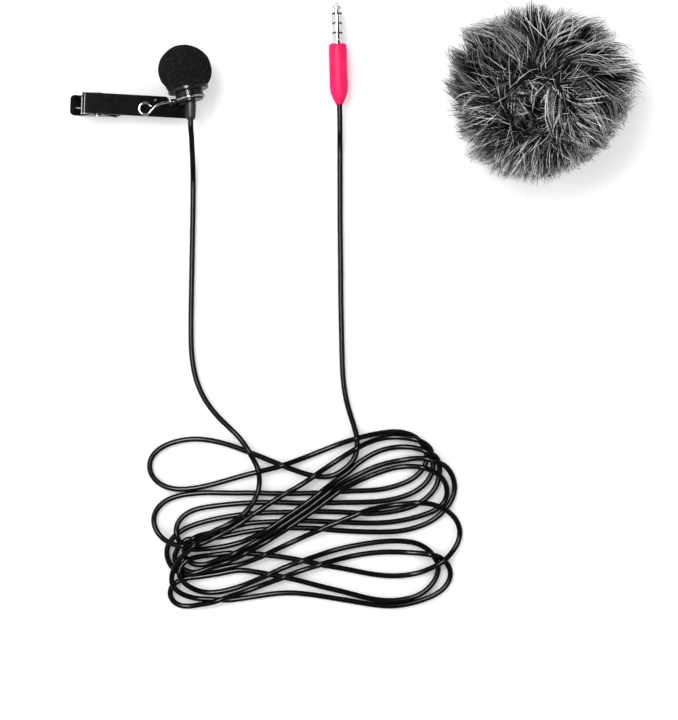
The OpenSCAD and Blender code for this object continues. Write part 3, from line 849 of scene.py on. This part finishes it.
def dome_pt(angle, r, z, lean, rise=0.0):
    """A point on the undercoat: upright low down, and square to the pouch near its mouth."""
    upright = np.array([FUR_POS[0] + r * math.cos(angle), FUR_POS[1] + r * math.sin(angle), z])
    leaning = pouch_pt(angle - math.radians(POUCH_WAY), r, z if lean == 1 else z - 1)
    p = upright * (1 - lean) + leaning * lean
    return p + rise * np.array([math.cos(angle), math.sin(angle), 0.4])


def finer(rings, parts):
    """The same rings, with others evenly between them."""
    out = []
    for a, b in zip(rings, rings[1:]):
        for t in np.linspace(0, 1, parts, endpoint=False):
            out.append(tuple(np.array(a) + (np.array(b) - np.array(a)) * t))
    return out + [rings[-1]]


def make_undercoat():
    """The dense dark wool that the long hair stands in, open where the pouch's mouth is."""
    look = grain(material("undercoat", grey(0.005), 0.9, specular=0.05), grey(0.001), grey(0.008), 1300,
                 bump=1.0, bump_mm=0.4)
    rows = [(*ring, 1.0) for ring in finer(DOME, 7)] + [(*ring, 0.0) for ring in finer(SLEEVE_IN, 5)]
    verts = []
    for r, z, lean, rough in rows:
        for k in range(COAT_TURNS):
            angle = 2 * math.pi * k / COAT_TURNS
            p = Vector(dome_pt(angle, r, z, lean))
            lump = sum(rise * noise.noise(p * size) for rise, size in COAT_LUMPS)
            q = dome_pt(angle, r, z, lean, rough * lump * min(1, max(0, z - 0.5)))
            q[2] = max(q[2], COAT_LOW)
            verts.append(q)
    ends = (*FUR_POS, COAT_LOW), pouch_pt(0, 0, SLEEVE_IN[-1][1])
    coat = ring_skin("fur_undercoat", verts, COAT_TURNS, ends, look)
    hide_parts("fur_pile")
    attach(coat, "fur")


# How the pile is combed: a place from the middle of the fur, and the way the hair lies there in degrees.
COMB = [
    (-28, 15, 132), (-22, 12, 140), (-25, 3, 112), (-28, -4, 152), (-18, 18, 148), (-15, 6, 88),
    (-20, -6, 172), (-18, -12, 200), (-20, -18, 212), (-10, -21, 242), (-5, -15, 262), (0, -20, 275),
    (6, -22, 298), (3, -11, 300), (11, -15, 322), (17, -17, 338), (21, -13, 330), (4, 1, 240),
    (9, -2, 264), (13, 1, 272), (18, 0, 286), (20, -6, 8), (26, -8, -4), (26, 2, -6), (22, 9, -14),
    (26, 13, -10), (15, 13, 12), (10, 18, 8), (18, 21, 10), (3, 14, 60), (-3, 16, 116), (-8, 22, 124),
    (-3, 26, 104), (-15, 23, 146), (-9, 10, 200), (-8, 1, 40), (3, 7, 30),
]
GUIDE_FALL = 3.5
# Where the pile is darkest: a place from the middle, and how wide.
DARK_SPOTS = [(-18, 1, 9), (13, -15, 5.5), (17, -1, 6), (-5, -8, 6), (-10, 8, 5)]
DARK_SHARE = 0.8
# Where along a hair its tip's colour begins, and where it is full.
PALE_FROM = 0.1
PALE_FULL = 0.45
# How far the pile reaches from its middle, by degrees round it.
EDGE = [
    (0, 32), (8, 33.5), (22, 34), (34, 29), (50, 31), (66, 27), (80, 27), (98, 30), (114, 30), (130, 28.5),
    (150, 35.5), (160, 32), (170, 30.5), (180, 33), (192, 29), (208, 29), (224, 32), (236, 28), (246, 32),
    (258, 27), (278, 28), (292, 25.5), (310, 25), (330, 26), (348, 29.5), (360, 32),
]


def hair_material(name, root, tip):
    """Hair that runs from its root's colour to its tip's, by the values kept in the mesh."""
    m = material(name, tip, 0.7, specular=0.03)
    tree = m.node_tree
    along = tree.nodes.new("ShaderNodeAttribute")
    along.attribute_name = "along"
    shade = tree.nodes.new("ShaderNodeAttribute")
    shade.attribute_name = "shade"
    ramp = tree.nodes.new("ShaderNodeMapRange")
    ramp.inputs["From Min"].default_value = PALE_FROM
    ramp.inputs["From Max"].default_value = PALE_FULL
    both = tree.nodes.new("ShaderNodeMath")
    both.operation = "MULTIPLY"
    mix = tree.nodes.new("ShaderNodeMix")
    mix.data_type = "RGBA"
    mix.inputs["A"].default_value = (*root, 1)
    mix.inputs["B"].default_value = (*tip, 1)
    tree.links.new(along.outputs["Fac"], ramp.inputs["Value"])
    tree.links.new(ramp.outputs["Result"], both.inputs[0])
    tree.links.new(shade.outputs["Fac"], both.inputs[1])
    tree.links.new(both.outputs["Value"], mix.inputs["Factor"])
    tree.links.new(mix.outputs["Result"], tree.nodes["Principled BSDF"].inputs["Base Color"])
    return m


def surface_points(count):
    """Random places on the undercoat's outside, with their outward ways."""
    rows = finer(DOME[:-1], 8)
    radii = np.array([r for r, _, _ in rows])
    weight = np.cumsum(radii / radii.sum())
    pick = np.minimum(np.searchsorted(weight, rng.random(count)), len(rows) - 2)
    angles = rng.random(count) * 2 * math.pi
    mix = rng.random(count)
    spots, ways = np.zeros((count, 3)), np.zeros((count, 3))
    for n in range(count):
        a, b = np.array(rows[pick[n]]), np.array(rows[pick[n] + 1])
        ring = a + (b - a) * mix[n]
        spots[n] = dome_pt(angles[n], *ring)
        up = dome_pt(angles[n], *b) - dome_pt(angles[n], *a)
        round_way = dome_pt(angles[n] + 0.02, *ring) - spots[n]
        ways[n] = np.cross(round_way, up)
    ways /= np.linalg.norm(ways, axis=1)[:, None]
    return spots, ways


def unit(v):
    """Each way in v, at length 1."""
    return v / np.maximum(np.linalg.norm(v, axis=-1, keepdims=True), 1e-9)


def combed(spots, ways, spread):
    """The way the hair lies at each spot: along the comb's lines, and never into the undercoat."""
    guides = np.array(COMB, float)
    x, y = spots[:, 0] - FUR_POS[0], spots[:, 1] - FUR_POS[1]
    gaps = np.hypot(x[:, None] - guides[None, :, 0], y[:, None] - guides[None, :, 1])
    weight = 1 / (gaps + 1.5) ** GUIDE_FALL
    turn = np.radians(guides[:, 2])
    x, y = weight @ np.cos(turn), weight @ np.sin(turn)
    angle = np.arctan2(y, x) + rng.normal(0, spread, len(spots))
    flow = np.column_stack([np.cos(angle), np.sin(angle), np.zeros(len(spots))])
    inward = np.minimum(0, (flow * ways).sum(1))[:, None]
    return unit(unit(flow - inward * ways) + rng.uniform(0.1, 0.38, (len(spots), 1)) * ways)


def edge_at(points, reach):
    """How much of each point's distance from the fur's middle fits in the pile's edge."""
    out = points[:, :2] - np.array(FUR_POS)
    degrees = np.degrees(np.arctan2(out[:, 1], out[:, 0])) % 360
    return np.interp(degrees, *np.array(EDGE, float).T) * reach / np.hypot(out[:, 0], out[:, 1])


def press_down(line):
    """Presses hair softly under the pile's rounded top, and keeps it off the floor."""
    out = np.hypot(line[:, :, 0] - FUR_POS[0], line[:, :, 1] - FUR_POS[1]) / FUR_REACH
    top = FUR_SHOULDER + (FUR_TOP - FUR_SHOULDER) * np.sqrt(np.clip(1 - out**2, 0, 1))
    soft = FUR_SOFT * top
    over = np.maximum(0, line[:, :, 2] - top + soft)
    pressed = top - soft * np.exp(-over / soft)
    line[:, :, 2] = np.maximum(np.minimum(line[:, :, 2], pressed), 0.3)


def make_tufts(count):
    """The tufts that every kind of hair shares: roots, ways, curls, sizes, reach and shades."""
    tufts, tuft_ways = surface_points(count)
    comb = combed(tufts, tuft_ways, 0.42)
    curl = rng.normal(0, 0.2, count)
    size = rng.uniform(0.7, 1.3, count)
    edge = rng.uniform(0.86, 1.06, count)
    shade = rng.uniform(0.55, 1.15, count)
    for x, y, wide in DARK_SPOTS:
        gap = np.hypot(tufts[:, 0] - FUR_POS[0] - x, tufts[:, 1] - FUR_POS[1] - y)
        shade *= 1 - DARK_SHARE * np.exp(-((gap / wide) ** 2))
    return tufts, comb, curl, size, edge, shade


TUFTS = make_tufts(190)
WAVE = 0.22
BEND_AT = 0.45
DROOP = 0.09
ROOT_DEPTH = 0.9
TIP_SCATTER = 0.7
STRAY_SPREAD = 0.9
TUFT_SPREAD = 0.06
# A hair's thickness along its length, as a share of its thickest.
TAPER = np.array([1, 1, 0.95, 0.85, 0.6, 0.15])


def strands(count, length, width, clump, stray, lift, spread):
    """Hair laid along the comb's lines and gathered in tufts. Returns its rings of points."""
    tufts, comb, curl, size, edge, shade = TUFTS
    tuft_length = length * size
    for _ in range(3):
        tuft_length = tuft_length * np.minimum(1, edge_at(tufts + comb * tuft_length[:, None], edge * spread))
    tuft_tips = tufts + comb * tuft_length[:, None]

    roots, ways = surface_points(count)
    own = ((roots[:, None] - tufts[None]) ** 2).sum(2).argmin(1)
    loose = rng.random(count) < stray
    stray_way = combed(roots, ways, STRAY_SPREAD)
    tuft_way = unit(comb[own] + TUFT_SPREAD * rng.normal(size=(count, 3)))
    own_way = np.where(loose[:, None], stray_way, tuft_way)
    reach = tuft_length[own] * rng.uniform(0.62, 1.08, count)
    pull = np.where(loose, 0.0, clump * rng.uniform(0.4, 1.15, count))[:, None]
    tips = (roots + own_way * reach[:, None]) * (1 - pull) + tuft_tips[own] * pull
    tips += rng.normal(0, TIP_SCATTER, (count, 3))
    side = unit(np.cross(own_way, ways))
    bend = roots + own_way * BEND_AT * reach[:, None]
    bend += (curl[own] * reach)[:, None] * side + (lift * rng.uniform(0.6, 1.5, count))[:, None] * ways
    fit = np.minimum(1, edge_at(tips, rng.uniform(0.9, 1.12, count) * spread))[:, None]
    tips[:, :2] = np.array(FUR_POS) + (tips[:, :2] - np.array(FUR_POS)) * fit
    tips[:, 2] = np.maximum(tips[:, 2] - DROOP * reach, 0.5)
    bend[:, 2] = np.maximum(bend[:, 2], 0.5)
    roots = roots - ROOT_DEPTH * ways
    roots[:, 2] = np.maximum(roots[:, 2], 0.4)
    t = np.linspace(0, 1, len(TAPER))[None, :, None]
    waves = rng.uniform(1, 3, count)[:, None, None]
    phase = rng.random(count)[:, None, None]
    wave = WAVE * np.sin(math.pi * (t * waves + phase))
    line = (1 - t) ** 2 * roots[:, None] + 2 * t * (1 - t) * bend[:, None] + t**2 * tips[:, None]
    line = line + wave * t * rng.normal(size=(count, 1, 3))
    press_down(line)
    half = width * rng.uniform(0.7, 1.25, count)[:, None] * TAPER[None, :]
    return line, half, shade[own] * rng.uniform(0.15, 1.4, count)


def hair_object(name, line, half, shades, look):
    """Each hair is a closed three-sided rod that tapers to its tip."""
    count, rings = half.shape
    way = np.gradient(line, axis=1)
    way /= np.maximum(np.linalg.norm(way, axis=2, keepdims=True), 1e-9)
    a = np.cross(way, np.array([0.31, 0.17, 0.93]))
    a /= np.maximum(np.linalg.norm(a, axis=2, keepdims=True), 1e-9)
    b = np.cross(way, a)
    corners = []
    for k in range(3):
        turn = 2 * math.pi * k / 3
        corners.append(line + half[:, :, None] * (math.cos(turn) * a + math.sin(turn) * b))
    verts = np.stack(corners, axis=2).reshape(-1, 3)
    verts[:, 2] = np.maximum(verts[:, 2], 0.05)
    base = (np.arange(count) * rings * 3)[:, None, None, None]
    ring = (np.arange(rings - 1) * 3)[None, :, None, None]
    quad = np.array([[k, (k + 1) % 3, (k + 1) % 3 + 3, k + 3] for k in range(3)])[None, None]
    quads = (base + ring + quad).reshape(-1, 4)
    flat = base[:, 0, 0, 0][:, None]
    caps = np.concatenate([flat + np.array([[2, 1, 0]]), flat + (rings - 1) * 3 + np.array([[0, 1, 2]])])
    data = bpy.data.meshes.new(name)
    data.vertices.add(len(verts))
    data.vertices.foreach_set("co", (verts * MM).astype(np.float32).ravel())
    data.loops.add(quads.size + caps.size)
    data.loops.foreach_set("vertex_index", np.concatenate([quads.ravel(), caps.ravel()]).astype(np.int32))
    data.polygons.add(len(quads) + len(caps))
    starts = np.concatenate([np.arange(len(quads)) * 4, quads.size + np.arange(len(caps)) * 3])
    data.polygons.foreach_set("loop_start", starts.astype(np.int32))
    data.update(calc_edges=True)
    data.validate()
    data.shade_smooth()
    share = np.tile(np.repeat(np.linspace(0, 1, rings), 3), count)
    shade = np.repeat(shades, rings * 3)
    data.attributes.new("along", "FLOAT", "POINT").data.foreach_set("value", share.astype(np.float32))
    data.attributes.new("shade", "FLOAT", "POINT").data.foreach_set("value", shade.astype(np.float32))
    data.materials.append(look)
    hair = bpy.data.objects.new(name, data)
    bpy.context.scene.collection.objects.link(hair)
    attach(hair, "fur")


# Name, number of hairs, length, radius, gathering, share of strays, rise over the coat, share of the edge
# that it reaches, and its root and tip colours.
HAIRS = [
    ("under_hair", 5400, 9.0, 0.17, 0.35, 0.1, 0.4, 0.86, grey(0.001), grey(0.002)),
    ("dark_hair", 5200, 13.0, 0.13, 0.6, 0.06, 0.8, 0.95, grey(0.001), grey(0.003)),
    ("grey_hair", 2200, 16.5, 0.11, 0.62, 0.1, 1.3, 1.0, grey(0.001), grey(0.16)),
    ("pale_hair", 3300, 18.5, 0.145, 0.6, 0.2, 3.0, 1.03, grey(0.002), (1, 1, 1)),
]
MOUTH_HAIR = 2400
MOUTH_HAIR_R = 0.13
MOUTH_R = 8.5
MOUTH_TOP = 26.6


def mouth_strands(count):
    """Hair that stands round the pouch's mouth: some of it leans out, and some crosses the mouth."""
    turn = rng.random(count) * 2 * math.pi
    ring = rng.uniform(MOUTH_R, 11.8, count)
    roots = np.array([pouch_pt(a, r, MOUTH_TOP - 0.5 * (r - MOUTH_R)) for a, r in zip(turn, ring)])
    tops = np.array([pouch_pt(a, r, 30) for a, r in zip(turn, ring)])
    middle = pouch_pt(0, 0, MOUTH_TOP)
    up = unit(tops - roots)
    inward = unit(middle - roots)
    round_way = np.cross(up, inward)
    swirl = rng.normal(0.2, 0.6, count)[:, None]
    crossing = rng.random(count) < 0.42
    lean = np.where(crossing, rng.uniform(0.5, 1.2, count), rng.uniform(-1.3, 0.1, count))[:, None]
    way = unit(0.5 * up + lean * inward + swirl * round_way)
    reach = np.where(lean > 0.3, rng.uniform(6, 11, (count, 1)), rng.uniform(8, 17, (count, 1)))
    tips = roots + way * reach
    bend = roots + (0.5 * way + 0.25 * up) * reach + rng.normal(0, 0.6, (count, 3))
    t = np.linspace(0, 1, len(TAPER))[None, :, None]
    line = (1 - t) ** 2 * roots[:, None] + 2 * t * (1 - t) * bend[:, None] + t**2 * tips[:, None]
    press_down(line)
    half = MOUTH_HAIR_R * rng.uniform(0.7, 1.25, count)[:, None] * TAPER[None, :]
    return line, half


make_pouch()
make_undercoat()
for name, count, length, width, clump, stray, lift, spread, root, tip in HAIRS:
    line, half, shades = strands(count, length, width, clump, stray, lift, spread)
    more, more_half = mouth_strands(MOUTH_HAIR // len(HAIRS))
    line, half = np.concatenate([line, more]), np.concatenate([half, more_half])
    shades = np.concatenate([shades, rng.uniform(0.05, 1.1, len(more))])
    hair_object(name, line, half, shades, hair_material(name, root, tip))
